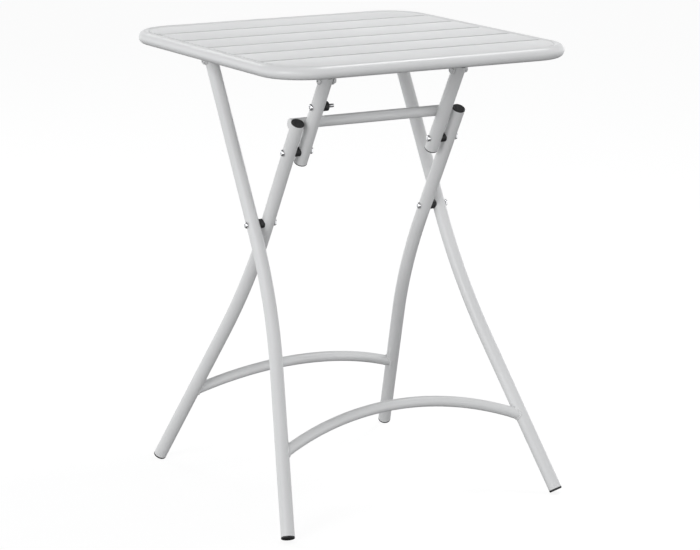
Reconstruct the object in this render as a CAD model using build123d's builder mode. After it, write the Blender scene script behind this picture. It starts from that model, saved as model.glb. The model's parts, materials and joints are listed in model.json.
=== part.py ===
from build123d import *
from math import sin, cos, tan, radians, degrees, atan2
import os

# Folding metal table: a slatted steel top on two splayed tube frames that cross like an X.
# +X is the table's width (the slats run that way), -Y is the front, +Z is up.
# The origin is on the floor, under the middle of the top. Sizes are in millimetres.

# ---------------------------------------------------------------- driving sizes
table_width = 525.0          # outside of the rim, along X
table_depth = 520.0          # outside of the rim, along Y
table_height = 715.0         # floor to the crest of the rim
rim_diameter = 20.0
rim_corner_radius = 62.5     # of the rim's centre line
leg_diameter = 21.0          # legs and struts
bar_diameter = 17.0          # foot arches and crossbar
tube_wall = 1.2

slat_count = 6
slat_gap = 5.5
slat_sheet = 1.2
slat_lip = 7.0               # height of the folded edges under a slat
slat_below_crest = 1.0       # a slat's face lies this much below the crest of the rim
slat_inset = 6.0             # a slat's end, in from the rim's centre line
slat_edge_radius = 0.8
lip_end_inset = 12.0         # the folded edges stop this far in from the rim's centre line

rail_width = 20.0
rail_height = 8.0
bracket_sheet = 2.0
bracket_eye_radius = 7.0
bracket_root_width = 30.0

lean_angle = 29.4            # of both frames from upright, seen from the side
splay_angle = 11.2           # of the lower legs, in the plane of their frame
cross_height = 433.5         # floor to the cross pivots
pivot_height = 672.5         # floor to the pivots under the top
outer_leg_x = 170.0          # centre of the outer legs above their bend
washer_gap = 5.0             # between neighbouring tubes at a pivot
bend_radius = 1100.0
bend_below_cross = 124.0     # along the frame, from the cross pivot to the bend's corner
folded_droop = 6.0           # degrees that the folded outer legs hang below the top
folded_scissor = 3.5         # degrees left between the two frames when folded

outer_arch_mid = 177.0       # along the frame, from the foot to the middle of the arch
outer_arch_end = 128.0
inner_arch_mid = 179.0
inner_arch_end = 141.0

leg_above_pivot = 12.0       # outer leg's end beyond its top pivot
inner_leg_above_knee = 57.0
strut_above_pivot = 12.0
strut_below_knee = 23.0
crossbar_below_end = 17.5    # along the inner leg, from its end to the crossbar's centre
crossbar_length = 287.0      # its ends are behind the middles of the inner legs
saddle_pad_width = 8.0       # of the welds between the crossbar and the legs
saddle_pad_depth = 10.0
latch_above_knee = 85.0      # along the left strut, to the spare latch bolt

foot_cap = 3.0               # thickness of a foot plug's flange
foot_cap_round = 1.5
top_cap = 2.0                # thickness of the other plugs' flanges
top_cap_round = 1.2
plug_depth = 14.0
plug_fit = 0.1

bolt_diameter = 6.0
bolt_fit = 0.05              # radial clearance of a bolt in its hole
bolt_head_diameter = 10.5
bolt_head_height = 3.3
bolt_head_round = 2.2
socket_size = 4.0            # hexagon across flats
socket_depth = 2.0
nut_size = 10.0              # hexagon across flats
nut_height = 3.2
bolt_past_nut = 0.1
turning_gap = 0.3            # between tubes and what they turn beside
washer_diameter = 15.0
washer_face_gap = 0.1        # between the two saddle washers of a pair
washer_skirt = 2.0           # how far a washer's skirt reaches round its tube
latch_washer_height = 6.5
latch_tip = 10.5             # bare thread beyond the latch bolt's washer
drain_diameter = 5.0

# ---------------------------------------------------------------- worked-out sizes
rim_radius = rim_diameter / 2
leg_radius = leg_diameter / 2
bar_radius = bar_diameter / 2
bolt_radius = bolt_diameter / 2
washer_radius = washer_diameter / 2
hole_radius = bolt_radius + bolt_fit

rim_x = table_width / 2 - rim_radius
rim_y = table_depth / 2 - rim_radius
rim_z = table_height - rim_radius

slat_top = table_height - slat_below_crest
slat_under = slat_top - slat_sheet
slat_pitch = 2 * rim_y / slat_count
lip_bottom = slat_under - slat_lip
rail_bottom = lip_bottom - rail_height
bracket_base_bottom = rail_bottom - bracket_sheet

tube_step = leg_diameter + washer_gap
inner_leg_x = outer_leg_x - tube_step
strut_x = inner_leg_x - tube_step
rail_x = inner_leg_x

lean = radians(lean_angle)
splay = radians(splay_angle)
foot_tilt_cos = cos(lean) * cos(splay)
foot_tilt_sin = (1 - foot_tilt_cos**2) ** 0.5
foot_drop = (leg_radius - foot_cap_round) * foot_tilt_sin + foot_cap_round * (1 - foot_tilt_cos)
foot_s = -(cross_height - foot_drop) / cos(lean)

# The linkage: top pivot to cross pivot is the same length at the front and at the back,
# and the knee divides the front one so that everything lies close when folded.
arm = (pivot_height - cross_height) / cos(lean)
pivot_reach = (pivot_height - cross_height) * tan(lean)
fold_y = 2 * pivot_reach - arm * cos(radians(folded_droop))
fold_z = -arm * sin(radians(folded_droop))
fold_up = radians(folded_droop + folded_scissor)
fold_along = fold_y * cos(fold_up) + fold_z * sin(fold_up)
knee_s = (arm**2 - fold_y**2 - fold_z**2) / (2 * (arm + fold_along))

inner_top_s = knee_s + inner_leg_above_knee
crossbar_s = inner_top_s - crossbar_below_end
crossbar_back = leg_radius + bar_radius + turning_gap

# A frame's plane holds its legs: local X is the table's X, local Y runs up along the legs.
outer_plane = Plane((0, 0, cross_height), x_dir=(1, 0, 0), z_dir=(0, -cos(lean), sin(lean)))
inner_plane = Plane((0, 0, cross_height), x_dir=(1, 0, 0), z_dir=(0, -cos(lean), -sin(lean)))

SIDES = {"left": -1, "right": 1}


def on_frame(plane, x, s, back=0.0):
    """A point x across and s up along a frame, and so far behind its plane."""
    return plane.from_local_coords((x, s, -back))


def across(x, y, z):
    """A plane at a point, facing +X."""
    return Plane((x, y, z), x_dir=(0, 1, 0), z_dir=(1, 0, 0))


def foot_x(leg_x):
    """How far out a leg's foot end is, for a leg that stands leg_x out above its bend."""
    return leg_x + (-bend_below_cross - foot_s) * tan(splay)


def down_leg(plane, side):
    """The way that a splayed lower leg points, towards its foot."""
    return on_frame(plane, side * sin(splay), -cos(splay)) - plane.origin


def save(name, part):
    part.label = name
    export_step(part, f"parts/{name}.step")


# ---------------------------------------------------------------- shared shapes
def disc(plane, radius):
    with BuildSketch(plane) as sketch:
        Circle(radius)
    return sketch.sketch


def ring(plane, radius):
    """The section of a tube."""
    with BuildSketch(plane) as sketch:
        Circle(radius)
        Circle(radius - tube_wall, mode=Mode.SUBTRACT)
    return sketch.sketch


def hexagon(plane, across_flats):
    with BuildSketch(plane) as sketch:
        RegularPolygon(radius=across_flats / 2, side_count=6, major_radius=False)
    return sketch.sketch


def rim_path():
    corners = [(rim_x, -rim_y), (rim_x, rim_y), (-rim_x, rim_y), (-rim_x, -rim_y)]
    with BuildLine(Plane.XY.offset(rim_z)) as path:
        FilletPolyline(*corners, radius=rim_corner_radius, close=True)
    return path.line


def start_of(path):
    return Plane(path @ 0, z_dir=path % 0)


# Each of these adds to, or cuts from, the BuildPart that it is called in.
def rod(point, direction, radius, reach, mode):
    """A round rod about a point, reaching the same way both ways along a direction."""
    extrude(disc(Plane(point, z_dir=direction), radius), amount=reach, both=True, mode=mode)


def bolt_hole(point, reach=leg_diameter):
    rod(point, (1, 0, 0), hole_radius, reach, Mode.SUBTRACT)


def cut_by_rim():
    """Takes the rim tube's own space, with no hollow, out of the part being built."""
    path = rim_path()
    sweep(disc(start_of(path), rim_radius), path=path, mode=Mode.SUBTRACT)


def leg_tube(plane, side, leg_x, top_s, end_s):
    """A tube that runs straight down from top_s and bends outward towards its foot."""
    end_x = leg_x + (-bend_below_cross - end_s) * tan(splay)
    corner = (side * leg_x, -bend_below_cross)
    with BuildLine(plane) as path:
        FilletPolyline((side * leg_x, top_s), corner, (side * end_x, end_s), radius=bend_radius)
    sweep(ring(start_of(path.line), leg_radius), path=path.line)


def foot_arch(plane, leg_x, mid, end):
    """A bar that arches up between the lower legs and is coped to them."""
    end_x = leg_x + (-bend_below_cross - foot_s - end) * tan(splay)
    with BuildLine(plane) as path:
        ThreePointArc((-end_x, foot_s + end), (0, foot_s + mid), (end_x, foot_s + end))
    sweep(ring(start_of(path.line), bar_radius), path=path.line)
    for side in SIDES.values():
        leg_point = on_frame(plane, side * end_x, foot_s + end)
        rod(leg_point, down_leg(plane, side), leg_radius, 4 * bar_diameter, Mode.SUBTRACT)


def end_plug(face_point, way, cap, cap_round):
    """A plug in a tube's end: a rounded cap, flush with the tube, on a spigot inside it."""
    face = Plane(face_point, z_dir=way)
    extrude(disc(face, leg_radius), amount=-cap)
    outer_edge = edges().filter_by(GeomType.CIRCLE).filter_by(
        lambda edge: (edge.arc_center - face.origin).length < cap / 2)
    fillet(outer_edge, cap_round)
    extrude(disc(face.offset(-cap), leg_radius - tube_wall - plug_fit), amount=-plug_depth)


def bolt(seat, tip_x):
    """A button-head bolt whose head sits on the seat plane and whose tip points along +X."""
    crown = seat.offset(-bolt_head_height)
    extrude(disc(seat, bolt_radius), amount=tip_x - seat.origin.X)
    extrude(disc(seat, bolt_head_diameter / 2), amount=-bolt_head_height)
    crown_edge = edges().filter_by(GeomType.CIRCLE).filter_by(
        lambda edge: (edge.arc_center - crown.origin).length < bolt_fit)
    fillet(crown_edge, bolt_head_round)
    extrude(hexagon(crown, socket_size), amount=socket_depth, mode=Mode.SUBTRACT)


def nut(seat):
    """A hexagon nut that sits on the seat plane and stands out along +X."""
    extrude(hexagon(seat, nut_size), amount=nut_height)
    bolt_hole(seat.origin)


def saddle_washer(middle, towards, tube_way):
    """Half of a spacer: flat where it meets its twin, hollowed where it hugs its tube."""
    flat = across(middle.X + towards * washer_face_gap / 2, middle.Y, middle.Z)
    extrude(disc(flat, washer_radius), amount=towards * (washer_gap / 2 + washer_skirt))
    tube_point = middle + Vector(towards * tube_step / 2, 0, 0)
    rod(tube_point, tube_way, leg_radius, washer_diameter, Mode.SUBTRACT)
    bolt_hole(middle)


# ---------------------------------------------------------------- key points
outer_way = outer_plane.y_dir
inner_way = inner_plane.y_dir
bolt_tip_run = nut_height + bolt_past_nut


def tube_side(x, offset):
    """The X of the plane that just clears a tube centred at x, on its -X (-1) or +X (1) side."""
    return x + offset * (leg_radius + turning_gap)


def bracket_side(x, offset):
    return tube_side(x, offset) + offset * bracket_sheet


# ---------------------------------------------------------------- the top
def make_rim():
    path = rim_path()
    with BuildPart() as rim:
        sweep(ring(start_of(path), rim_radius), path=path)
        with Locations((0, rim_y, rim_z - rim_radius)):
            Cylinder(drain_diameter / 2, 2 * tube_wall + 1, mode=Mode.SUBTRACT)
    save("rim_frame", rim.part)


def make_slat(number):
    """Slats are numbered from the front. Each is a sheet with its long edges folded down."""
    low = -rim_y + number * slat_pitch + slat_gap / 2
    high = low + slat_pitch - slat_gap
    is_first = number == 0
    is_last = number == slat_count - 1
    field_x = rim_x - slat_inset
    field_y = rim_y - slat_inset
    with BuildPart() as slat:
        with BuildSketch(Plane.XY.offset(slat_under)):
            with Locations((0, (low + high) / 2)):
                Rectangle(2 * rim_x, high - low)
            if is_first or is_last:
                with Locations((0, low if is_first else high)):
                    Rectangle(2 * rim_x, slat_pitch / 2)
            RectangleRounded(
                2 * field_x, 2 * field_y, rim_corner_radius - slat_inset, mode=Mode.INTERSECT)
        extrude(amount=slat_sheet)
        fillet(slat.faces().sort_by(Axis.Z)[-1].edges(), slat_edge_radius)
        lip_length = 2 * (rim_x - lip_end_inset)
        lips = [] if is_first else [low + slat_sheet / 2]
        lips += [] if is_last else [high - slat_sheet / 2]
        with BuildSketch(Plane.XY.offset(lip_bottom)):
            with Locations(*[(0, y) for y in lips]):
                Rectangle(lip_length, slat_sheet)
        extrude(amount=slat_lip)
        cut_by_rim()
    save(f"slat_{number + 1}", slat.part)


def make_rail(name, side):
    with BuildPart() as rail:
        with BuildSketch(Plane.XZ.offset(-rim_y)):
            with Locations((side * rail_x, rail_bottom + rail_height / 2)):
                Rectangle(rail_width, rail_height)
                Rectangle(rail_width - 2 * tube_wall, rail_height - 2 * tube_wall, mode=Mode.SUBTRACT)
        extrude(amount=2 * rim_y)
        cut_by_rim()
    save(f"support_rail_{name}", rail.part)


def make_bracket(name, side, kind, tube_x, pivot_y, ear_offsets):
    """A folded bracket: its base is welded under the rail, its ears stand beside a tube's end."""
    base_ends = [bracket_side(tube_x, -1), bracket_side(tube_x, 1)]
    base_ends += [rail_x - rail_width / 2, rail_x + rail_width / 2]
    base_low, base_high = min(base_ends), max(base_ends)
    with BuildPart() as bracket:
        with BuildSketch(Plane.XY.offset(bracket_base_bottom)):
            with Locations((side * (base_low + base_high) / 2, pivot_y)):
                Rectangle(base_high - base_low, bracket_root_width)
        extrude(amount=bracket_sheet)
        for offset in ear_offsets:
            ear_x = tube_side(side * tube_x, offset)
            with BuildSketch(across(ear_x, pivot_y, pivot_height)):
                Circle(bracket_eye_radius)
                with Locations((0, bracket_base_bottom - pivot_height)):
                    Rectangle(bracket_root_width, bracket_sheet, align=(Align.CENTER, Align.MIN))
                make_hull()
            extrude(amount=offset * bracket_sheet)
        bolt_hole((side * tube_x, pivot_y, pivot_height))
    save(f"{kind}_bracket_{name}", bracket.part)


def front_grip(side):
    """Where a front pivot bolt's head and nut sit. The bracket's one ear is on the inner side."""
    x = side * strut_x
    if side < 0:
        return tube_side(x, -1), bracket_side(x, 1)
    return bracket_side(x, -1), tube_side(x, 1)


def make_front_pivot_hardware():
    with BuildPart() as bolts:
        for side in SIDES.values():
            head_x, nut_x = front_grip(side)
            bolt(across(head_x, -pivot_reach, pivot_height), nut_x + bolt_tip_run)
    save("front_pivot_bolts", bolts.part)

    with BuildPart() as nuts:
        for side in SIDES.values():
            nut(across(front_grip(side)[1], -pivot_reach, pivot_height))
    save("front_pivot_nuts", nuts.part)


def make_rear_pivot_hardware():
    """These bolts are cut through between the ears, because the outer legs leave them half way."""
    with BuildPart() as bolts:
        for side in SIDES.values():
            x = side * outer_leg_x
            seat = across(bracket_side(x, -1), pivot_reach, pivot_height)
            bolt(seat, tube_side(x, -1))
            stub = disc(across(tube_side(x, 1), pivot_reach, pivot_height), bolt_radius)
            extrude(stub, amount=bracket_sheet + bolt_tip_run)
    save("rear_pivot_bolts", bolts.part)

    with BuildPart() as nuts:
        for side in SIDES.values():
            nut(across(bracket_side(side * outer_leg_x, 1), pivot_reach, pivot_height))
    save("rear_pivot_nuts", nuts.part)


# ---------------------------------------------------------------- the struts
def make_strut(name, side):
    top_s = arm + strut_above_pivot - top_cap
    end_s = knee_s - strut_below_knee + top_cap
    with BuildPart() as strut:
        start = Plane(on_frame(inner_plane, side * strut_x, end_s), z_dir=inner_way)
        extrude(ring(start, leg_radius), amount=top_s - end_s)
        bolt_hole(on_frame(inner_plane, side * strut_x, knee_s))
        bolt_hole(on_frame(inner_plane, side * strut_x, arm))
        if name == "left":
            bolt_hole(on_frame(inner_plane, side * strut_x, knee_s + latch_above_knee))
    save(f"strut_{name}", strut.part)

    with BuildPart() as lower_plug:
        low = on_frame(inner_plane, side * strut_x, end_s - top_cap)
        end_plug(low, -inner_way, top_cap, top_cap_round)
    save(f"strut_lower_plug_{name}", lower_plug.part)

    with BuildPart() as upper_plug:
        high = on_frame(inner_plane, side * strut_x, top_s + top_cap)
        end_plug(high, inner_way, top_cap, top_cap_round)
        bolt_hole(on_frame(inner_plane, side * strut_x, arm))
    save(f"strut_upper_plug_{name}", upper_plug.part)

    with BuildPart() as washer:
        middle = on_frame(inner_plane, side * (strut_x + tube_step / 2), knee_s)
        saddle_washer(middle, -side, inner_way)
    save(f"knee_washer_strut_{name}", washer.part)


def make_latch():
    """A spare bolt in the left strut, with a saddle washer and a bare thread."""
    centre = on_frame(inner_plane, -strut_x, knee_s + latch_above_knee)
    washer_face = centre.X + leg_radius + latch_washer_height
    with BuildPart() as latch:
        bolt(across(centre.X - leg_radius, centre.Y, centre.Z), washer_face + latch_tip)
    save("latch_bolt", latch.part)

    with BuildPart() as washer:
        face = disc(across(washer_face, centre.Y, centre.Z), washer_radius)
        extrude(face, amount=-(latch_washer_height + washer_skirt))
        rod(centre, inner_way, leg_radius, washer_diameter, Mode.SUBTRACT)
        bolt_hole(centre)
    save("latch_washer", washer.part)


# ---------------------------------------------------------------- the inner frame
def make_inner_frame():
    for name, side in SIDES.items():
        with BuildPart() as leg:
            leg_tube(inner_plane, side, inner_leg_x, inner_top_s - top_cap, foot_s + foot_cap * cos(splay))
            bolt_hole(on_frame(inner_plane, side * inner_leg_x, 0))
            bolt_hole(on_frame(inner_plane, side * inner_leg_x, knee_s))
        save(f"inner_leg_{name}", leg.part)

    with BuildPart() as arch:
        foot_arch(inner_plane, inner_leg_x, inner_arch_mid, inner_arch_end)
    save("inner_foot_arch", arch.part)

    with BuildPart() as crossbar:
        centre = on_frame(inner_plane, 0, crossbar_s, crossbar_back)
        rod(centre, (1, 0, 0), bar_radius, crossbar_length / 2, Mode.ADD)
        for side in SIDES.values():
            pad_x = side * (crossbar_length - saddle_pad_width) / 2
            pad_plane = Plane(on_frame(inner_plane, pad_x, crossbar_s), z_dir=-inner_plane.z_dir)
            with BuildSketch(pad_plane):
                Rectangle(saddle_pad_width, saddle_pad_depth)
            extrude(amount=crossbar_back)
            leg_point = on_frame(inner_plane, side * inner_leg_x, crossbar_s)
            rod(leg_point, inner_way, leg_radius, leg_diameter, Mode.SUBTRACT)
        rod(centre, (1, 0, 0), bar_radius - tube_wall, crossbar_length / 2 - tube_wall, Mode.SUBTRACT)
        drain = on_frame(inner_plane, 0, crossbar_s - bar_radius, crossbar_back)
        rod(drain, inner_way, drain_diameter / 2, 2 * tube_wall, Mode.SUBTRACT)
    save("crossbar", crossbar.part)

    with BuildPart() as top_plugs:
        for side in SIDES.values():
            end_plug(on_frame(inner_plane, side * inner_leg_x, inner_top_s), inner_way, top_cap, top_cap_round)
    save("inner_leg_top_plugs", top_plugs.part)


def make_foot_plugs(kind, plane, leg_x):
    with BuildPart() as plugs:
        for side in SIDES.values():
            foot = on_frame(plane, side * foot_x(leg_x), foot_s)
            end_plug(foot, down_leg(plane, side), foot_cap, foot_cap_round)
    save(f"{kind}_foot_plugs", plugs.part)


def make_knee_hardware():
    knee = on_frame(inner_plane, 0, knee_s)
    first_tube = {-1: -inner_leg_x, 1: strut_x}
    with BuildPart() as bolts:
        for side in SIDES.values():
            seat = across(tube_side(first_tube[side], -1), knee.Y, knee.Z)
            bolt(seat, tube_side(first_tube[side] + tube_step, 1) + bolt_tip_run)
    save("knee_bolts", bolts.part)

    with BuildPart() as nuts:
        for side in SIDES.values():
            nut(across(tube_side(first_tube[side] + tube_step, 1), knee.Y, knee.Z))
    save("knee_nuts", nuts.part)

    with BuildPart() as washers:
        for side in SIDES.values():
            middle = on_frame(inner_plane, side * (strut_x + tube_step / 2), knee_s)
            saddle_washer(middle, side, inner_way)
    save("knee_washers_inner", washers.part)


# ---------------------------------------------------------------- the outer frame
def make_outer_frame():
    top_s = arm + leg_above_pivot - top_cap
    for name, side in SIDES.items():
        with BuildPart() as leg:
            leg_tube(outer_plane, side, outer_leg_x, top_s, foot_s + foot_cap * cos(splay))
            bolt_hole(on_frame(outer_plane, side * outer_leg_x, 0))
            bolt_hole(on_frame(outer_plane, side * outer_leg_x, arm))
        save(f"outer_leg_{name}", leg.part)

    with BuildPart() as arch:
        foot_arch(outer_plane, outer_leg_x, outer_arch_mid, outer_arch_end)
    save("outer_foot_arch", arch.part)

    with BuildPart() as top_plugs:
        for side in SIDES.values():
            end_plug(on_frame(outer_plane, side * outer_leg_x, top_s + top_cap), outer_way, top_cap, top_cap_round)
            bolt_hole(on_frame(outer_plane, side * outer_leg_x, arm))
    save("outer_leg_top_plugs", top_plugs.part)


def make_cross_hardware():
    first_tube = {-1: -outer_leg_x, 1: inner_leg_x}
    with BuildPart() as bolts:
        for side in SIDES.values():
            seat = across(tube_side(first_tube[side], -1), 0, cross_height)
            bolt(seat, tube_side(first_tube[side] + tube_step, 1) + bolt_tip_run)
    save("cross_bolts", bolts.part)

    with BuildPart() as nuts:
        for side in SIDES.values():
            nut(across(tube_side(first_tube[side] + tube_step, 1), 0, cross_height))
    save("cross_nuts", nuts.part)

    washer_rows = [("inner", -1, inner_way), ("outer", 1, outer_way)]
    for kind, outward, way in washer_rows:
        with BuildPart() as washers:
            for side in SIDES.values():
                middle = on_frame(inner_plane, side * (inner_leg_x + tube_step / 2), 0)
                saddle_washer(middle, side * outward, way)
        save(f"cross_washers_{kind}", washers.part)


os.makedirs("parts", exist_ok=True)
make_rim()
for slat_number in range(slat_count):
    make_slat(slat_number)
for side_name, side_sign in SIDES.items():
    make_rail(side_name, side_sign)
    make_bracket(side_name, side_sign, "front", strut_x, -pivot_reach, [-side_sign])
    make_bracket(side_name, side_sign, "rear", outer_leg_x, pivot_reach, [-1, 1])
    make_strut(side_name, side_sign)
make_front_pivot_hardware()
make_rear_pivot_hardware()
make_latch()
make_inner_frame()
make_foot_plugs("inner", inner_plane, inner_leg_x)
make_knee_hardware()
make_outer_frame()
make_foot_plugs("outer", outer_plane, outer_leg_x)
make_cross_hardware()

knee_point = on_frame(inner_plane, 0, knee_s)
folded_cross = (pivot_reach - arm * cos(radians(folded_droop)), pivot_height + fold_z)
folded_knee = (folded_cross[0] + knee_s * cos(fold_up), folded_cross[1] + knee_s * sin(fold_up))
strut_turn = degrees(atan2(folded_knee[1] - pivot_height, folded_knee[0] + pivot_reach)) + 90 - lean_angle
inner_turn = folded_droop + folded_scissor - (90 + lean_angle)
outer_turn = folded_droop - (90 - lean_angle)
print("front pivot y z", round(-pivot_reach, 4), pivot_height)
print("cross pivot y z", 0.0, cross_height)
print("knee y z", round(knee_point.Y, 4), round(knee_point.Z, 4), "lengths", round(arm, 3), round(knee_s, 3))
print("turns", round(strut_turn, 4), round(inner_turn, 4), round(outer_turn, 4))
print("strut length", round(arm - knee_s, 3), "foot reach", round(-foot_s * sin(lean), 3))
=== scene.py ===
import json
import math

import bmesh
import bpy
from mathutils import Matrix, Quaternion, Vector, noise


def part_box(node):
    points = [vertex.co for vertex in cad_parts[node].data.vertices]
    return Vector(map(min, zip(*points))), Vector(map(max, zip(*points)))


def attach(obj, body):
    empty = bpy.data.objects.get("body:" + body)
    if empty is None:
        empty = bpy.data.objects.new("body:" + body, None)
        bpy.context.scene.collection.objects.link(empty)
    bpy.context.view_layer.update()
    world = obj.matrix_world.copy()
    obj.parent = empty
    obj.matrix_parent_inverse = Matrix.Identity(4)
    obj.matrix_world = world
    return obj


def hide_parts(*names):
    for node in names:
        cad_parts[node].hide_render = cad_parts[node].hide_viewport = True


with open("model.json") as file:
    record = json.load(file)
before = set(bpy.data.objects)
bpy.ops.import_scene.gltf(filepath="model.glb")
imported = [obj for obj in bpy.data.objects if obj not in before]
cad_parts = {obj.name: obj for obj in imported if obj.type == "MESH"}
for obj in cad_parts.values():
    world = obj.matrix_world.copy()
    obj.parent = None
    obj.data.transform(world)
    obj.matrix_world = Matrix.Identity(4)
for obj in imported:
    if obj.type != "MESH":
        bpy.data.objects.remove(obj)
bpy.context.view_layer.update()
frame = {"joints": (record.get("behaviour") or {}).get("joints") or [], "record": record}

record = frame["record"]
body_of = {n: b for b, nodes in record["behaviour"]["bodies"].items() for n in nodes}
SIDES = {"left": -1, "right": 1}
X = Vector((1, 0, 0))
Y = Vector((0, 1, 0))
Z = Vector((0, 0, 1))
MM = 0.001

# ------------------------------------------------------------ places, from the CAD
# A name that ends in _s is a distance up a frame from the crossing, negative below it.
pivots = {j["name"]: Vector(j["pos_m"]) for j in frame["joints"]}
front_pivot = pivots["top_fold"]
knee = pivots["knee_fold"]
cross = pivots["cross_fold"]
rear_pivot = Vector((0, -front_pivot.y, front_pivot.z))
inner_up = (front_pivot - cross).normalized()
outer_up = (rear_pivot - cross).normalized()
inner_back = inner_up.cross(X)
knee_s = (knee - cross).length
arm = (front_pivot - cross).length

strut_low, strut_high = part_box("strut_right")
leg_r = (strut_high.x - strut_low.x) / 2
strut_x = (strut_high.x + strut_low.x) / 2
inner_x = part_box("inner_leg_top_plugs")[1].x - leg_r
outer_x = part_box("outer_leg_top_plugs")[1].x - leg_r
rim_low, rim_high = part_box("rim_frame")
rim_r = (rim_high.z - rim_low.z) / 2
rim_z = (rim_high.z + rim_low.z) / 2
rim_x = rim_high.x - rim_r
rim_y = rim_high.y - rim_r
crossbar_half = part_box("crossbar")[1].x

# these repeat part.py's own sizes
bar_r = 8.5 * MM
wall = 1.2 * MM
splay = math.radians(11.2)
bend_radius = 1100 * MM
bend_s = -124 * MM
rim_corner = 62.5 * MM
slat_count = 6
slat_sheet = 1.2 * MM
turning_gap = 0.3 * MM
washer_gap = 5 * MM
foot_cap = 3.0 * MM
foot_round = 1.5 * MM
top_cap = 2.0 * MM
top_round = 1.2 * MM
plug_depth = 14 * MM
plug_fit = 0.1 * MM
bracket_sheet = 2 * MM
head_r = 5.25 * MM
head_h = 3.3 * MM
bolt_r = 3 * MM
bolt_fit = 0.05 * MM
nut_flat = 5 * MM  # half of the size across flats, as in the next line
socket_flat = 2 * MM
socket_depth = 2 * MM
nut_h = 3.2 * MM
tip_past_nut = 0.1 * MM
washer_r = 7.5 * MM
inner_top_s = knee_s + 57 * MM
strut_low_s = knee_s - 23 * MM
strut_top_s = arm + 12 * MM
outer_top_s = arm + 12 * MM
crossbar_s = inner_top_s - 17.5 * MM
crossbar_back = leg_r + bar_r + turning_gap
latch_s = knee_s + 85 * MM
latch_washer_h = 6.5 * MM
latch_tip = 10.5 * MM
tilt_cos = inner_up.z * math.cos(splay)
foot_drop = (leg_r - foot_round) * math.sqrt(1 - tilt_cos**2) + foot_round * (1 - tilt_cos)
foot_s = -(cross.z - foot_drop) / inner_up.z
inner_arch = (179 * MM, 141 * MM)  # heights of its middle and its ends, up the frame from the foot
outer_arch = (177 * MM, 128 * MM)
saddle_skirt = 2 * MM
saddle_gap = 0.05 * MM
saddle_thickness = washer_gap / 2 - saddle_gap

# these are the visual model's own
slat_inset = 7.0 * MM  # 1 mm more than the CAD's, so that the line beside the rim shows
slat_set_back = 0.8 * MM  # of each long edge from the CAD's, so that the groove shows
slat_roll = 0.35 * MM
slat_inner_roll = 0.05 * MM
slat_lip_flat = 2 * MM
rail_corner = 1.8 * MM
rail_inner_corner = 0.7 * MM
bracket_bend = 2.5 * MM
rail_bead_r = 1.3 * MM
bracket_bead_r = 1.2 * MM
arch_bead_r = 1.5 * MM
crossbar_bead_r = 2.0 * MM
bead_pitch = 0.6 * MM
rail_bead_pitch = 0.7 * MM
crossbar_end_r = 1.5 * MM
thread_pitch = 1 * MM
thread_depth = 0.62 * MM
socket_rim_r = 2.9 * MM


# ------------------------------------------------------------ mesh building
class Shape:
    """The faces of one piece, collected from lofts."""

    def __init__(self):
        self.points = []
        self.faces = []

    def loft(self, rings, around=False, caps=True):
        """Skins rings of equally many points. around joins the last ring to the first."""
        count = len(rings[0])
        base = len(self.points)
        for ring in rings:
            self.points.extend(ring)
        for i in range(len(rings) if around else len(rings) - 1):
            a = base + i * count
            b = base + (i + 1) % len(rings) * count
            for k in range(count):
                n = (k + 1) % count
                self.faces.append((a + k, a + n, b + n, b + k))
        if caps and not around:
            last = base + (len(rings) - 1) * count
            self.faces.append(tuple(base + k for k in range(count)))
            self.faces.append(tuple(last + k for k in range(count)))


def piece(shape, node, material, sharp=32):
    """Turns a shape into the object that stands for a CAD node."""
    mesh = bpy.data.meshes.new(node + "_skin")
    mesh.from_pydata([tuple(p) for p in shape.points], [], shape.faces)
    work = bmesh.new()
    work.from_mesh(mesh)
    bmesh.ops.recalc_face_normals(work, faces=work.faces)
    work.to_mesh(mesh)
    work.free()
    mesh.shade_smooth()
    mesh.set_sharp_from_angle(angle=math.radians(sharp))
    mesh.materials.append(material)
    obj = bpy.data.objects.new(node + "_skin", mesh)
    bpy.context.scene.collection.objects.link(obj)
    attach(obj, body_of[node])
    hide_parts(node)


def ring(centre, tangent, side, radius, count=48):
    """A ring of points round a tangent; radius is a number or a function of the angle."""
    other = tangent.cross(side)
    points = []
    for k in range(count):
        a = math.tau * k / count
        r = radius(a) if callable(radius) else radius
        points.append(centre + side * (r * math.cos(a)) + other * (r * math.sin(a)))
    return points


def turned(shape, origin, axis, stations, count=48, around=False):
    """Rings at (height, radius) stations along an axis."""
    side = (Z if abs(axis.z) < 0.9 else Y).cross(axis).normalized()
    rings = [ring(origin + axis * h, axis, side, r, count) for h, r in stations]
    shape.loft(rings, around=around)


def pipe(shape, path, flat_side, radius, count=48):
    """A tube along (point, tangent) pairs, with its wall and softened ends."""
    ease = 0.3 * MM
    first, way = path[0]
    last, out = path[-1]
    outer = [(first, way, radius - ease)]
    outer += [(first + way * ease, way, radius)]
    outer += [(p, t, radius) for p, t in path[1:-1]]
    outer += [(last - out * ease, out, radius), (last, out, radius - ease)]
    inner = [(last, out, radius - wall)]
    inner += [(p, t, radius - wall) for p, t in reversed(path[1:-1])]
    inner += [(first, way, radius - wall)]
    rings = [ring(p, t, flat_side, r, count) for p, t, r in outer + inner]
    shape.loft(rings, around=True)


def bead(shape, curve, normals, radius, seed, closed=True):
    """A weld bead: a rippled round run along a curve, half sunk in what it joins."""
    count = len(curve)
    rings = []
    for i in range(count):
        before = curve[i - 1] if closed or i else curve[0]
        after = curve[(i + 1) % count] if closed or i < count - 1 else curve[-1]
        tangent = (after - before).normalized()
        side = (normals[i] - tangent * normals[i].dot(tangent)).normalized()
        ripple = 1 + 0.10 * math.sin(i * math.tau / 6 + seed)
        ripple += 0.10 * noise.noise(curve[i] * 250 + X * seed)
        ends = 1 if closed else min(1, 0.45 + min(i, count - 1 - i) / 4)
        rings.append(ring(curve[i], tangent, side, radius * ripple * ends, 12))
    shape.loft(rings, around=closed)


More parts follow.
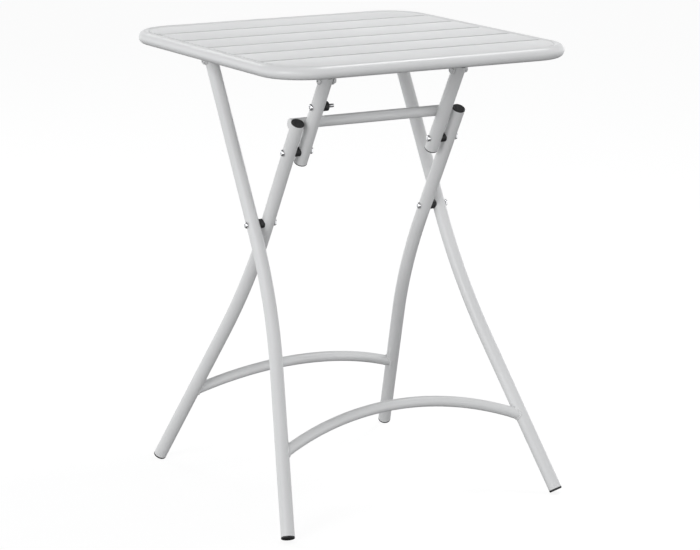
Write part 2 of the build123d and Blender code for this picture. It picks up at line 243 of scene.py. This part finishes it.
def leg_path(up, side, leg_x, top_s, end_s):
    """(point, tangent) pairs down a leg: straight, a long bend, straight to the foot."""
    tangent_length = bend_radius * math.tan(splay / 2)
    pairs = []
    for i in range(13):
        s = top_s + (bend_s + tangent_length - top_s) * i / 12
        pairs.append((leg_x, s, 0))
    for i in range(1, 17):
        a = splay * i / 16
        x = leg_x + bend_radius * (1 - math.cos(a))
        pairs.append((x, bend_s + tangent_length - bend_radius * math.sin(a), a))
    x, s, a = pairs[-1]
    run = (s - end_s) / math.cos(splay)
    for i in range(1, 11):
        d = run * i / 10
        pairs.append((x + d * math.sin(splay), s - d * math.cos(splay), a))
    return [(cross + X * (side * x) + up * s, X * (side * math.sin(a)) - up * math.cos(a))
            for x, s, a in pairs]


def foot_end(up, side, leg_x):
    """The middle of a foot's end face, and the way it points."""
    x = leg_x + (bend_s - foot_s) * math.tan(splay)
    way = X * (side * math.sin(splay)) - up * math.cos(splay)
    return cross + X * (side * x) + up * foot_s, way


def cap_plug(shape, face, way, cap, rounding):
    """A moulded end plug: a rounded cap with a shallow dish, on a plain spigot."""
    ease = 0.25 * MM
    spigot = leg_r - wall - plug_fit
    tail = -cap - plug_depth
    stations = [(tail, 1 * MM), (tail, spigot - 1 * MM), (tail + 1 * MM, spigot)]
    stations += [(-cap, spigot), (-cap, leg_r - ease), (-cap + ease, leg_r)]
    for i in range(9):
        a = math.radians(90 * i / 8)
        stations.append((-rounding + rounding * math.sin(a), leg_r - rounding + rounding * math.cos(a)))
    dish = leg_r - rounding - 1.6 * MM
    stations += [(0, dish), (-0.35 * MM, dish - 0.5 * MM), (-0.35 * MM, 1.6 * MM)]
    stations += [(-0.7 * MM, 1.3 * MM), (-0.7 * MM, 0.2 * MM)]
    turned(shape, face, way, stations)


def hexagonal(flat, limit=None):
    """A radius that follows a hexagon, cut round at a limit."""
    def radius(a):
        r = flat / math.cos((a + math.pi / 6) % (math.pi / 3) - math.pi / 6)
        return min(r, limit) if limit else r
    return radius


def thread(low, high):
    """Stations of a helical thread that fades out at the tip."""
    steps = max(2, round((high - low) / thread_pitch * 8))
    stations = []
    for i in range(steps + 1):
        h = low + (high - low) * i / steps
        fade = min(1, (high - h) / (0.8 * MM) + 0.35)
        def radius(a, h=h, fade=fade):
            phase = (h / thread_pitch - a / math.tau) % 1
            return (bolt_r - thread_depth * abs(2 * phase - 1)) * fade + (1 - fade) * 2.2 * MM
        stations.append((h, radius))
    return stations


def bolt(shape, seat, length, bare=0.0):
    """A button-head bolt: seat is under the head, the shank runs along +X."""
    brim = 0.55 * MM
    floor = -head_h + socket_depth
    stations = [(floor + 0.1 * MM, 0.3 * MM), (floor, hexagonal(socket_flat))]
    stations += [(-head_h + 0.25 * MM, hexagonal(socket_flat))]
    stations += [(-head_h, hexagonal(socket_flat + 0.2 * MM)), (-head_h, socket_rim_r)]
    for i in range(1, 9):
        a = math.radians(90 * i / 8)
        radius = socket_rim_r + (head_r - socket_rim_r) * math.sin(a)
        stations.append((-brim - (head_h - brim) * math.cos(a), radius))
    stations += [(-0.25 * MM, head_r), (0, head_r - 0.25 * MM), (0, bolt_r)]
    if bare:
        stations += [(length - bare, bolt_r)]
        stations += thread(length - bare, length)
    else:
        stations += [(length - 0.6 * MM, bolt_r), (length, bolt_r - 0.5 * MM)]
    stations += [(length, 0.3 * MM)]
    turned(shape, seat, X, stations, count=72)


def nut(shape, seat):
    """A thin hexagonal nut with chamfered corners: seat is on its near face."""
    hole = bolt_r + bolt_fit
    face_r = 4.75 * MM
    chamfer = [(h * MM, hexagonal(nut_flat, (4.82 + h * 1.73) * MM)) for h in (0.12, 0.25, 0.4, 0.55)]
    stations = [(0, hole), (0, face_r)] + chamfer
    stations += [(nut_h - h, radius) for h, radius in reversed(chamfer)]
    stations += [(nut_h, face_r), (nut_h, bolt_r + 0.5 * MM), (nut_h - 0.45 * MM, hole)]
    turned(shape, seat, X, stations, count=72, around=True)


def saddle(shape, flat, towards, tube_way, flat_gap, thick):
    """A moulded saddle washer: flat on one side, hollowed on the other to hug a tube."""
    axis = X * towards
    side = Z.cross(axis).normalized()
    other = axis.cross(side)
    cross_way = tube_way.cross(X).normalized()

    def reach(a, r):
        off = (side * math.cos(a) + other * math.sin(a)).dot(cross_way) * r
        return min(thick + leg_r - math.sqrt(leg_r**2 - off**2), thick + saddle_skirt)

    def saddle_ring(height, r):
        points = []
        for k in range(72):
            a = math.tau * k / 72
            h = height if height is not None else reach(a, r)
            centre = flat + axis * (flat_gap + h)
            points.append(centre + side * (r * math.cos(a)) + other * (r * math.sin(a)))
        return points

    ease = 0.35 * MM
    hole = bolt_r + bolt_fit
    rings = [saddle_ring(0, hole), saddle_ring(0, washer_r - ease), saddle_ring(ease, washer_r)]
    inward = (washer_r, washer_r * 0.85, washer_r * 0.7, washer_r * 0.55, hole)
    rings += [saddle_ring(None, r) for r in inward]
    shape.loft(rings, around=True)


# ------------------------------------------------------------ materials
def node_tree(name):
    material = bpy.data.materials.new(name)
    material.use_nodes = True
    tree = material.node_tree
    tree.nodes.clear()
    out = tree.nodes.new("ShaderNodeOutputMaterial")
    shader = tree.nodes.new("ShaderNodeBsdfPrincipled")
    tree.links.new(shader.outputs["BSDF"], out.inputs["Surface"])
    place = tree.nodes.new("ShaderNodeTexCoord")
    return material, tree, shader, place.outputs["Object"]


def noise_node(tree, vector, scale, detail, roughness=0.5):
    n = tree.nodes.new("ShaderNodeTexNoise")
    n.inputs["Scale"].default_value = scale
    n.inputs["Detail"].default_value = detail
    n.inputs["Roughness"].default_value = roughness
    tree.links.new(vector, n.inputs["Vector"])
    return n.outputs["Fac"]


def ramp(tree, value, low, high, to_low=0.0, to_high=1.0):
    n = tree.nodes.new("ShaderNodeMapRange")
    n.inputs["From Min"].default_value = low
    n.inputs["From Max"].default_value = high
    n.inputs["To Min"].default_value = to_low
    n.inputs["To Max"].default_value = to_high
    tree.links.new(value, n.inputs["Value"])
    return n.outputs["Result"]


def mix_colour(tree, factor, a, b):
    """From a, a colour or a socket, to the colour b."""
    n = tree.nodes.new("ShaderNodeMix")
    n.data_type = "RGBA"
    tree.links.new(factor, n.inputs["Factor"])
    if isinstance(a, tuple):
        n.inputs["A"].default_value = a + (1,)
    else:
        tree.links.new(a, n.inputs["A"])
    n.inputs["B"].default_value = b + (1,)
    return n.outputs["Result"]


def bump(tree, shader, heights):
    """Stacks (value, strength, distance) bumps onto the shader's normal."""
    normal = None
    for value, strength, distance in heights:
        n = tree.nodes.new("ShaderNodeBump")
        n.inputs["Strength"].default_value = strength
        n.inputs["Distance"].default_value = distance
        tree.links.new(value, n.inputs["Height"])
        if normal:
            tree.links.new(normal, n.inputs["Normal"])
        normal = n.outputs["Normal"]
    tree.links.new(normal, shader.inputs["Normal"])


def powder_coat():
    """White paint: a faint cloudiness, rare specks, and a fine orange peel."""
    material, tree, shader, place = node_tree("white_powder_coat")
    cloud = noise_node(tree, place, 9, 4)
    peel = noise_node(tree, place, 520, 2, 0.45)
    grain = noise_node(tree, place, 2600, 2)
    colour = mix_colour(tree, ramp(tree, cloud, 0.35, 0.65), (0.755, 0.757, 0.76), (0.785, 0.787, 0.79))
    specks = ramp(tree, noise_node(tree, place, 950, 1), 0.735, 0.76, 0, 0.35)
    colour = mix_colour(tree, specks, colour, (0.55, 0.55, 0.54))
    tree.links.new(colour, shader.inputs["Base Color"])
    tree.links.new(ramp(tree, cloud, 0.3, 0.7, 0.30, 0.40), shader.inputs["Roughness"])
    shader.inputs["IOR"].default_value = 1.5
    bump(tree, shader, [(peel, 0.15, 0.0002), (grain, 0.06, 0.00005)])
    return material


def black_plastic():
    """For the plugs and washers: matt, with a moulded grain."""
    material, tree, shader, place = node_tree("black_moulded_plastic")
    cloud = noise_node(tree, place, 120, 3)
    grain = noise_node(tree, place, 1500, 3, 0.6)
    colour = mix_colour(tree, ramp(tree, cloud, 0.35, 0.7), (0.012, 0.012, 0.013), (0.022, 0.022, 0.024))
    tree.links.new(colour, shader.inputs["Base Color"])
    tree.links.new(ramp(tree, grain, 0.3, 0.7, 0.42, 0.58), shader.inputs["Roughness"])
    bump(tree, shader, [(grain, 0.4, 0.00012)])
    return material


def zinc_steel():
    """For the bare bolts and nuts: bright plating with fine marks."""
    material, tree, shader, place = node_tree("bright_zinc_steel")
    cloud = noise_node(tree, place, 260, 4)
    marks = noise_node(tree, place, 1800, 2)
    colour = mix_colour(tree, ramp(tree, cloud, 0.3, 0.7), (0.84, 0.84, 0.85), (0.93, 0.93, 0.94))
    tree.links.new(colour, shader.inputs["Base Color"])
    tree.links.new(ramp(tree, marks, 0.3, 0.7, 0.12, 0.22), shader.inputs["Roughness"])
    shader.inputs["Metallic"].default_value = 1.0
    bump(tree, shader, [(marks, 0.25, 0.00005)])
    return material


white = powder_coat()
black = black_plastic()
steel = zinc_steel()


# ------------------------------------------------------------ the top
def rim_path(steps=20):
    """(point, tangent) pairs round the rim's centre line."""
    pairs = []
    for sx, sy, start in ((1, 1, 0), (-1, 1, 90), (-1, -1, 180), (1, -1, 270)):
        for i in range(steps + 1):
            a = math.radians(start + 90 * i / steps)
            x = sx * (rim_x - rim_corner) + rim_corner * math.cos(a)
            y = sy * (rim_y - rim_corner) + rim_corner * math.sin(a)
            pairs.append((Vector((x, y, rim_z)), Vector((-math.sin(a), math.cos(a), 0))))
    return pairs


def make_rim():
    rings = [ring(p, t, Z, rim_r, 64) for p, t in rim_path()]
    shape = Shape()
    shape.loft(rings, around=True)
    piece(shape, "rim_frame", white)


def field_edge(x):
    """How far the slatted field reaches in Y at this X."""
    corner = rim_corner - slat_inset
    over = abs(x) - (rim_x - slat_inset - corner)
    edge = rim_y - slat_inset
    if over <= 0:
        return edge
    return edge - corner + math.sqrt(max(0, corner**2 - over**2))


def make_slat(number):
    """A sheet whose long edges roll over and down into lips; its ends follow the rim."""
    node = f"slat_{number}"
    low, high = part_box(node)
    half = rim_x - slat_inset
    first, last = number == 1, number == slat_count
    stations = [-half + 2 * half * i / 60 for i in range(61)]
    if first or last:
        corner = rim_corner - slat_inset
        extra = [half - corner * (1 - math.sin(math.radians(90 * i / 24))) for i in range(25)]
        straight = [x for x in stations if abs(x) < half - corner]
        stations = sorted(set(straight + extra + [-x for x in extra]))
    rings = []
    for x in stations:
        y0 = -field_edge(x) if first else low.y + slat_set_back
        y1 = field_edge(x) if last else high.y - slat_set_back
        outline = slat_section(y0, y1, high.z, low.z, not first, not last)
        rings.append([Vector((x, y, z)) for y, z in outline])
    shape = Shape()
    shape.loft(rings)
    piece(shape, node, white, sharp=40)


def slat_section(y0, y1, top, lip_z, lip0, lip1):
    """The outline of a slat's cross-section, the same number of points with or without lips."""

    def edge(y, towards, lip):
        """The outside, from the bottom up and round over the top edge."""
        if lip:
            points = [(y, lip_z), (y, lip_z + slat_lip_flat)]
            r = slat_roll
        else:
            points = [(y, top - slat_sheet), (y, top - slat_sheet * 0.9)]
            r = slat_sheet * 0.85
        for i in range(7):
            a = math.radians(90 * i / 6)
            points.append((y + towards * r * (1 - math.cos(a)), top - r * (1 - math.sin(a))))
        return points

    def inside(y, towards, lip):
        """The inside, from the bottom up."""
        if not lip:
            return [(y + towards * (0.2 + 0.2 * i) * MM, top - slat_sheet) for i in range(6)]
        wall_y = y + towards * slat_sheet
        points = [(wall_y, lip_z), (wall_y, lip_z + slat_lip_flat)]
        r = slat_inner_roll
        for i in range(4):
            a = math.radians(90 * i / 3)
            roll_y = wall_y + towards * r * (1 - math.cos(a))
            points.append((roll_y, top - slat_sheet - r * (1 - math.sin(a))))
        return points

    outer = edge(y0, 1, lip0) + list(reversed(edge(y1, -1, lip1)))
    inner = inside(y1, -1, lip1) + list(reversed(inside(y0, 1, lip0)))
    return outer + inner


def make_rail(name, side):
    """A flat box rail under the slats, cut round at both ends to fit the rim, with its welds."""
    node = f"support_rail_{name}"
    low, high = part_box(node)
    mid_x, half_x = (low.x + high.x) / 2, (high.x - low.x) / 2
    mid_z, half_z = (low.z + high.z) / 2, (high.z - low.z) / 2

    def section(inset, corner):
        points = []
        for sx, sz, start in ((1, 1, 0), (-1, 1, 90), (-1, -1, 180), (1, -1, 270)):
            for i in range(6):
                a = math.radians(start + 90 * i / 5)
                points.append((mid_x + sx * (half_x - inset - corner) + corner * math.cos(a),
                               mid_z + sz * (half_z - inset - corner) + corner * math.sin(a)))
        return points

    def end_y(z):
        return rim_y - math.sqrt(max(0, rim_r**2 - (z - rim_z) ** 2))

    outside, inside = section(0, rail_corner), section(wall, rail_inner_corner)
    rings = []
    for outline, order in ((outside, 1), (inside, -1)):
        for t in [order * k / 8 for k in range(-8, 9)]:
            rings.append([Vector((x, end_y(z) * t, z)) for x, z in outline])
    shape = Shape()
    shape.loft(rings, around=True)
    for end in (-1, 1):
        below = reversed(outside[11:24] + outside[:1])  # the sides and the underside
        curve = [Vector((x, end * (end_y(z) - 0.4 * MM), z - 0.1 * MM)) for x, z in below]
        dense = []
        for a, b in zip(curve, curve[1:]):
            steps = max(1, round((b - a).length / rail_bead_pitch))
            dense += [a.lerp(b, i / steps) for i in range(steps)]
        dense.append(curve[-1])
        normals = [Vector((0, -end, -1)).normalized()] * len(dense)
        bead(shape, dense, normals, rail_bead_r, side + end, closed=False)
    piece(shape, node, white, sharp=40)


def strap(stations):
    """Rings of a folded strap: stations are (point, normal, half width)."""
    rings = []
    ease = 0.4 * MM
    t = bracket_sheet / 2
    for point, normal, w in stations:
        outline = [(-w + ease, -t), (w - ease, -t), (w, -t + ease), (w, t - ease)]
        outline += [(w - ease, t), (-w + ease, t), (-w, t - ease), (-w, -t + ease)]
        rings.append([point + Y * y + normal * n for y, n in outline])
    return rings


def make_bracket(name, side, kind, tube_x, pivot):
    """A folded bracket: one ear and the base are one strap; a rear one has a second ear welded on."""
    node = f"{kind}_bracket_{name}"
    low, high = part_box(node)
    eye = pivot.z - low.z
    root = (high.y - low.y) / 2
    base_top = high.z
    centre_x = side * tube_x
    far_side = -1 if abs(low.x - centre_x) > abs(high.x - centre_x) else 1
    ear_offset = leg_r + turning_gap + bracket_sheet / 2
    t = bracket_sheet
    bend = bracket_bend

    def half_width(z):
        """Of an ear at a height: a round end that widens to the root."""
        rise = z - pivot.z
        if rise < 0:
            return math.sqrt(max(0, eye**2 - rise**2))
        return eye + (root - eye) * min(1, rise / (base_top - t - pivot.z))

    def ear(x, normal_x, top):
        stations = []
        tip = low.z + 0.05 * MM
        heights = [tip + eye * (1 - math.cos(math.radians(90 * i / 12))) for i in range(13)]
        heights += [pivot.z + (top - pivot.z) * i / 6 for i in range(1, 7)]
        for z in heights:
            stations.append((Vector((x, pivot.y, z)), X * normal_x, max(0.9 * MM, half_width(z))))
        return stations

    shape = Shape()
    near = -far_side
    near_x = centre_x + near * ear_offset
    stations = ear(near_x, near, base_top - t / 2 - bend)
    corner = Vector((near_x - near * bend, pivot.y, base_top - t / 2 - bend))
    for i in range(1, 7):
        a = math.radians(90 * i / 6)
        normal = Vector((near * math.cos(a), 0, math.sin(a)))
        stations.append((corner + normal * bend, normal, root))
    end_x = low.x if far_side < 0 else high.x
    for i in range(1, 7):
        x = corner.x + (end_x - corner.x) * i / 6
        stations.append((Vector((x, pivot.y, base_top - t / 2)), Z, root))
    shape.loft(strap(stations))
    if kind == "rear":
        far_x = centre_x + far_side * ear_offset
        shape.loft(strap(ear(far_x, far_side, base_top - t)))
        seam_x, seam_start = far_x + far_side * t / 2, pivot.y - 11 * MM
        curve = [Vector((seam_x, seam_start + bead_pitch * i, base_top - t)) for i in range(37)]
        normals = [Vector((far_side, 0, -1)).normalized()] * len(curve)
        bead(shape, curve, normals, bracket_bead_r, 1 + side, closed=False)
    for end in (-1, 1):
        start = side * inner_x - 8 * MM
        curve = [Vector((start + bead_pitch * i, pivot.y + end * root, base_top)) for i in range(27)]
        normals = [Vector((0, end, -1)).normalized()] * len(curve)
        bead(shape, curve, normals, bracket_bead_r, end + side + 3, closed=False)
    piece(shape, node, white, sharp=45)


def make_top_hardware():
    """The bolts and nuts under the top. The rear bolts are cut through between the ears."""
    for kind, tube_x, pivot in (("front", strut_x, front_pivot), ("rear", outer_x, rear_pivot)):
        bolts, nuts = Shape(), Shape()
        for side in SIDES.values():
            head_x = side * tube_x - leg_r - turning_gap
            nut_x = side * tube_x + leg_r + turning_gap
            # a front bracket's one ear is on the inner side of its tube
            if kind == "rear" or side > 0:
                head_x -= bracket_sheet
            if kind == "rear" or side < 0:
                nut_x += bracket_sheet
            seat = Vector((head_x, pivot.y, pivot.z))
            if kind == "front":
                bolt(bolts, seat, nut_x - head_x + nut_h + tip_past_nut)
            else:
                bolt(bolts, seat, bracket_sheet)
                stub = Vector((nut_x - bracket_sheet, pivot.y, pivot.z))
                tail = bracket_sheet + nut_h + tip_past_nut
                stations = [(0, 0.3 * MM), (0, bolt_r), (tail - 0.6 * MM, bolt_r)]
                stations += [(tail, bolt_r - 0.5 * MM), (tail, 0.3 * MM)]
                turned(bolts, stub, X, stations)
            nut(nuts, Vector((nut_x, pivot.y, pivot.z)))
        piece(bolts, f"{kind}_pivot_bolts", white)
        piece(nuts, f"{kind}_pivot_nuts", white)


# ------------------------------------------------------------ struts and frames
def make_strut(name, side):
    """A straight tube with its two end plugs and its saddle washer at the knee."""
    base = cross + X * (side * strut_x)
    start = base + inner_up * (strut_low_s + top_cap)
    end = base + inner_up * (strut_top_s - top_cap)
    way = (end - start).normalized()
    tube = Shape()
    pipe(tube, [(start.lerp(end, i / 8), way) for i in range(9)], way.cross(X).normalized(), leg_r)
    piece(tube, f"strut_{name}", white)
    lower, upper = Shape(), Shape()
    cap_plug(lower, base + inner_up * strut_low_s, -inner_up, top_cap, top_round)
    cap_plug(upper, base + inner_up * strut_top_s, inner_up, top_cap, top_round)
    piece(lower, f"strut_lower_plug_{name}", black)
    piece(upper, f"strut_upper_plug_{name}", black)
    washer = Shape()
    middle = knee + X * (side * (strut_x + leg_r + washer_gap / 2))
    saddle(washer, middle, -side, inner_up, saddle_gap, saddle_thickness)
    piece(washer, f"knee_washer_strut_{name}", black)


def make_latch():
    """The bolt with a bare end through the left strut, and its washer."""
    centre = cross - X * strut_x + inner_up * latch_s
    shape = Shape()
    length = 2 * leg_r + latch_washer_h + latch_tip
    bolt(shape, centre - X * leg_r, length, bare=latch_tip - 0.2 * MM)
    piece(shape, "latch_bolt", steel, sharp=60)
    washer = Shape()
    saddle(washer, centre + X * (leg_r + latch_washer_h), -1, inner_up, 0, latch_washer_h)
    piece(washer, "latch_washer", black)


def make_frame(kind, up, leg_x, top_s, arch):
    """Two legs with their plugs, and the bowed bar between them."""
    for name, side in SIDES.items():
        shape = Shape()
        path = leg_path(up, side, leg_x, top_s - top_cap, foot_s + foot_cap * math.cos(splay))
        pipe(shape, path, up.cross(X), leg_r)
        piece(shape, f"{kind}_leg_{name}", white)
    plugs, feet = Shape(), Shape()
    for side in SIDES.values():
        cap_plug(plugs, cross + X * (side * leg_x) + up * top_s, up, top_cap, top_round)
        face, way = foot_end(up, side, leg_x)
        cap_plug(feet, face, way, foot_cap, foot_round)
    piece(plugs, f"{kind}_leg_top_plugs", black)
    piece(feet, f"{kind}_foot_plugs", black)
    make_arch(kind, up, leg_x, *arch)


def make_arch(kind, up, leg_x, mid, end):
    """A bar bent to an arc between the legs, with a weld bead round each end."""
    count = 48
    steps = 30
    last_step = 27  # the bar runs straight from here into the leg
    end_turn = 0.975  # of the sweep, the direction of that run
    half = leg_x + (bend_s - foot_s - end) * math.tan(splay)
    rise = mid - end
    radius = (half**2 + rise**2) / (2 * rise)
    sweep = math.asin(half / radius)
    flat_side = up.cross(X)
    shape = Shape()

    def on_arc(a):
        height = foot_s + mid - radius * (1 - math.cos(a))
        return cross + X * (radius * math.sin(a)) + up * height, X * math.cos(a) - up * math.sin(a)

    rings = []
    for i in range(-last_step, last_step + 1):
        centre, tangent = on_arc(sweep * i / steps)
        rings.append(ring(centre, tangent, flat_side, bar_r, count))
    for side in (1, -1):
        centre, tangent = on_arc(side * sweep * last_step / steps)
        leg_way = X * (side * math.sin(splay)) - up * math.cos(splay)
        leg_point = cross + X * (side * half) + up * (foot_s + end)
        end_a = side * sweep * end_turn
        end_tangent = (X * math.cos(end_a) - up * math.sin(end_a)) * side
        other = tangent.cross(flat_side)
        last = []
        bead_points, bead_normals = [], []
        for k in range(count):
            b = math.tau * k / count
            out = flat_side * math.cos(b) + other * math.sin(b)
            # where this line of the bar meets the leg's wall
            start = centre + out * bar_r - leg_point
            q = start - leg_way * start.dot(leg_way)
            v = end_tangent - leg_way * end_tangent.dot(leg_way)
            qa, qb, qc = v.dot(v), 2 * q.dot(v), q.dot(q) - (leg_r - 0.2 * MM) ** 2
            t = (-qb - math.sqrt(max(0, qb * qb - 4 * qa * qc))) / (2 * qa)
            point = centre + out * bar_r + end_tangent * t
            last.append(point)
            off_leg = (q + v * t).normalized()
            bead_points.append(point - end_tangent * 0.5 * MM + off_leg * 0.1 * MM)
            bead_normals.append((out + off_leg).normalized())
        if side > 0:
            rings.append(last)
        else:
            rings.insert(0, last)
        dense_points, dense_normals = [], []
        for k in range(count):
            n = (k + 1) % count
            for j in range(2):
                dense_points.append(bead_points[k].lerp(bead_points[n], j / 2))
                dense_normals.append(bead_normals[k].lerp(bead_normals[n], j / 2))
        bead(shape, dense_points, dense_normals, arch_bead_r, side + leg_x * 40)
    shape.loft(rings)
    piece(shape, f"{kind}_foot_arch", white, sharp=50)


def make_crossbar():
    """A straight bar behind the inner legs, with rounded ends and a weld at each leg."""
    centre = cross + inner_up * crossbar_s + inner_back * crossbar_back
    end_stations = [(-crossbar_half, 0.4 * MM)]
    for i in range(6, -1, -1):
        a = math.radians(90 * i / 6)
        h = -crossbar_half + crossbar_end_r * (1 - math.sin(a))
        end_stations.append((h, bar_r - crossbar_end_r * (1 - math.cos(a))))
    stations = end_stations + [(-crossbar_half + 2 * crossbar_half * i / 24, bar_r) for i in range(1, 24)]
    stations += [(-h, r) for h, r in reversed(end_stations)]
    shape = Shape()
    shape.loft([ring(centre + X * h, X, inner_up, r, 48) for h, r in stations])
    bead_start, bead_run = -8.2 * MM, 7.4 * MM  # outwards from the leg's middle
    spread = 3.6 * MM
    for side in (-1, 1):
        leg = cross + X * (side * inner_x) + inner_up * crossbar_s
        for up_side in (-1, 1):
            curve, normals = [], []
            for i in range(17):
                x = bead_start + bead_run * i / 16
                sink = leg_r - math.sqrt(leg_r**2 - x**2)
                behind = leg_r + 0.9 * MM - sink * 0.6
                curve.append(leg + X * (side * x) + inner_up * (up_side * spread) + inner_back * behind)
                normals.append(inner_up * up_side)
            bead(shape, curve, normals, crossbar_bead_r, side + up_side, closed=False)
    piece(shape, "crossbar", white, sharp=50)


def make_pivot_hardware(kind, point, first, washer_rows):
    """Bolts, nuts and washers at a pivot; first gives each side's tube nearer -X."""
    bolts, nuts = Shape(), Shape()
    for side in SIDES.values():
        head_x = first[side] - leg_r - turning_gap
        nut_x = first[side] + 3 * leg_r + washer_gap + turning_gap
        bolt(bolts, Vector((head_x, point.y, point.z)), nut_x - head_x + nut_h + tip_past_nut)
        nut(nuts, Vector((nut_x, point.y, point.z)))
    piece(bolts, f"{kind}_bolts", steel)
    piece(nuts, f"{kind}_nuts", steel)
    for node, x, outward, way in washer_rows:
        shape = Shape()
        for side in SIDES.values():
            saddle(shape, point + X * (side * x), side * outward, way, saddle_gap, saddle_thickness)
        piece(shape, node, black)


make_rim()
for slat_number in range(1, slat_count + 1):
    make_slat(slat_number)
for side_name, side_sign in SIDES.items():
    make_rail(side_name, side_sign)
    make_bracket(side_name, side_sign, "front", strut_x, front_pivot)
    make_bracket(side_name, side_sign, "rear", outer_x, rear_pivot)
    make_strut(side_name, side_sign)
make_top_hardware()
make_latch()
make_frame("inner", inner_up, inner_x, inner_top_s, inner_arch)
make_frame("outer", outer_up, outer_x, outer_top_s, outer_arch)
make_crossbar()
knee_washer_x = strut_x + leg_r + washer_gap / 2
cross_washer_x = inner_x + leg_r + washer_gap / 2
make_pivot_hardware("knee", knee, {-1: -inner_x, 1: strut_x},
                    [("knee_washers_inner", knee_washer_x, 1, inner_up)])
make_pivot_hardware("cross", cross, {-1: -outer_x, 1: inner_x},
                    [("cross_washers_inner", cross_washer_x, -1, inner_up),
                     ("cross_washers_outer", cross_washer_x, 1, outer_up)])


# ------------------------------------------------------------ floor, light, camera
# The tent's brightness by height: straight down is 0, the horizon is 0.5, straight up is 1.
TENT = ((0.0, 0.09), (0.3, 0.13), (0.4, 1.05), (0.5, 1.50),
        (0.6, 1.25), (0.7, 0.30), (0.9, 0.24), (1.0, 0.40))
TENT_TINT = (0.985, 0.993, 1.0)
# name, place, aim, width and height, watts
LIGHTS = (
    ("key", (-4.3, -2.0, 2.0), (0, 0, 0.4), (1.8, 1.8), 66),
    ("overhead", (1.4, -0.05, 3.1), (0, 0, 0.7), (0.9, 0.9), 31),
    ("back", (-0.3, 3.2, 2.6), (0, 0, 0.7), (1.4, 0.8), 12),
)
FLOOR_GLOW = 0.885
FLOOR_ALBEDO = 0.2
FLOOR_HALF = 14
CAMERA_AZIMUTH = -30.46
CAMERA_ELEVATION = 12.96
CAMERA_ROLL = 0.22
CAMERA_TARGET = (0.0030, -0.0030, 0.3342)
CAMERA_DISTANCE = 4.19
CAMERA_LENS = 135.72


def make_floor():
    """A pale floor: mostly its own glow, so that shadows on it stay faint."""
    material, _, shader, _ = node_tree("pale_floor")
    shader.inputs["Base Color"].default_value = (FLOOR_ALBEDO,) * 3 + (1,)
    shader.inputs["Roughness"].default_value = 1.0
    shader.inputs["Specular IOR Level"].default_value = 0.0
    shader.inputs["Emission Color"].default_value = (1, 1, 1, 1)
    shader.inputs["Emission Strength"].default_value = FLOOR_GLOW
    mesh = bpy.data.meshes.new("floor")
    corners = [(x * FLOOR_HALF, y * FLOOR_HALF, 0) for x, y in ((-1, -1), (1, -1), (1, 1), (-1, 1))]
    mesh.from_pydata(corners, [], [(0, 1, 2, 3)])
    mesh.materials.append(material)
    obj = bpy.data.objects.new("floor", mesh)
    bpy.context.scene.collection.objects.link(obj)
    obj.visible_diffuse = False
    obj.visible_glossy = False


def area_light(name, location, target, size, power):
    data = bpy.data.lights.new(name, "AREA")
    data.shape = "RECTANGLE"
    data.size, data.size_y = size
    data.energy = power
    obj = bpy.data.objects.new(name, data)
    obj.location = location
    obj.rotation_euler = (Vector(target) - Vector(location)).to_track_quat("-Z", "Y").to_euler()
    bpy.context.scene.collection.objects.link(obj)


def make_light():
    """A white tent with a bright band at the horizon, and soft boxes at the left, above and behind."""
    world = bpy.data.worlds.new("studio")
    world.use_nodes = True
    tree = world.node_tree
    direction = tree.nodes.new("ShaderNodeTexCoord")
    parts = tree.nodes.new("ShaderNodeSeparateXYZ")
    tree.links.new(direction.outputs["Generated"], parts.inputs["Vector"])
    tent = tree.nodes.new("ShaderNodeValToRGB")
    stops = tent.color_ramp.elements
    while len(stops) < len(TENT):
        stops.new(0.5)
    for stop, (height, level) in zip(stops, TENT):
        stop.position = height
        stop.color = tuple(level * c for c in TENT_TINT) + (1,)
    tree.links.new(ramp(tree, parts.outputs["Z"], -1.0, 1.0), tent.inputs["Fac"])
    background = tree.nodes["Background"]
    tree.links.new(tent.outputs["Color"], background.inputs["Color"])
    background.inputs["Strength"].default_value = 1.0
    bpy.context.scene.world = world
    for light in LIGHTS:
        area_light(*light)
    bpy.context.scene.view_settings.view_transform = "Standard"


def make_camera():
    azimuth, elevation = math.radians(CAMERA_AZIMUTH), math.radians(CAMERA_ELEVATION)
    level = math.cos(elevation)
    back = Vector((math.sin(azimuth) * level, -math.cos(azimuth) * level, math.sin(elevation)))
    data = bpy.data.cameras.new("camera")
    data.lens = CAMERA_LENS
    data.sensor_width = 36
    camera = bpy.data.objects.new("camera", data)
    camera.location = Vector(CAMERA_TARGET) + back * CAMERA_DISTANCE
    camera.rotation_mode = "QUATERNION"
    roll = Quaternion(Z, math.radians(CAMERA_ROLL))
    camera.rotation_quaternion = (-back).to_track_quat("-Z", "Y") @ roll
    bpy.context.scene.collection.objects.link(camera)
    bpy.context.scene.camera = camera


make_floor()
make_light()
make_camera()
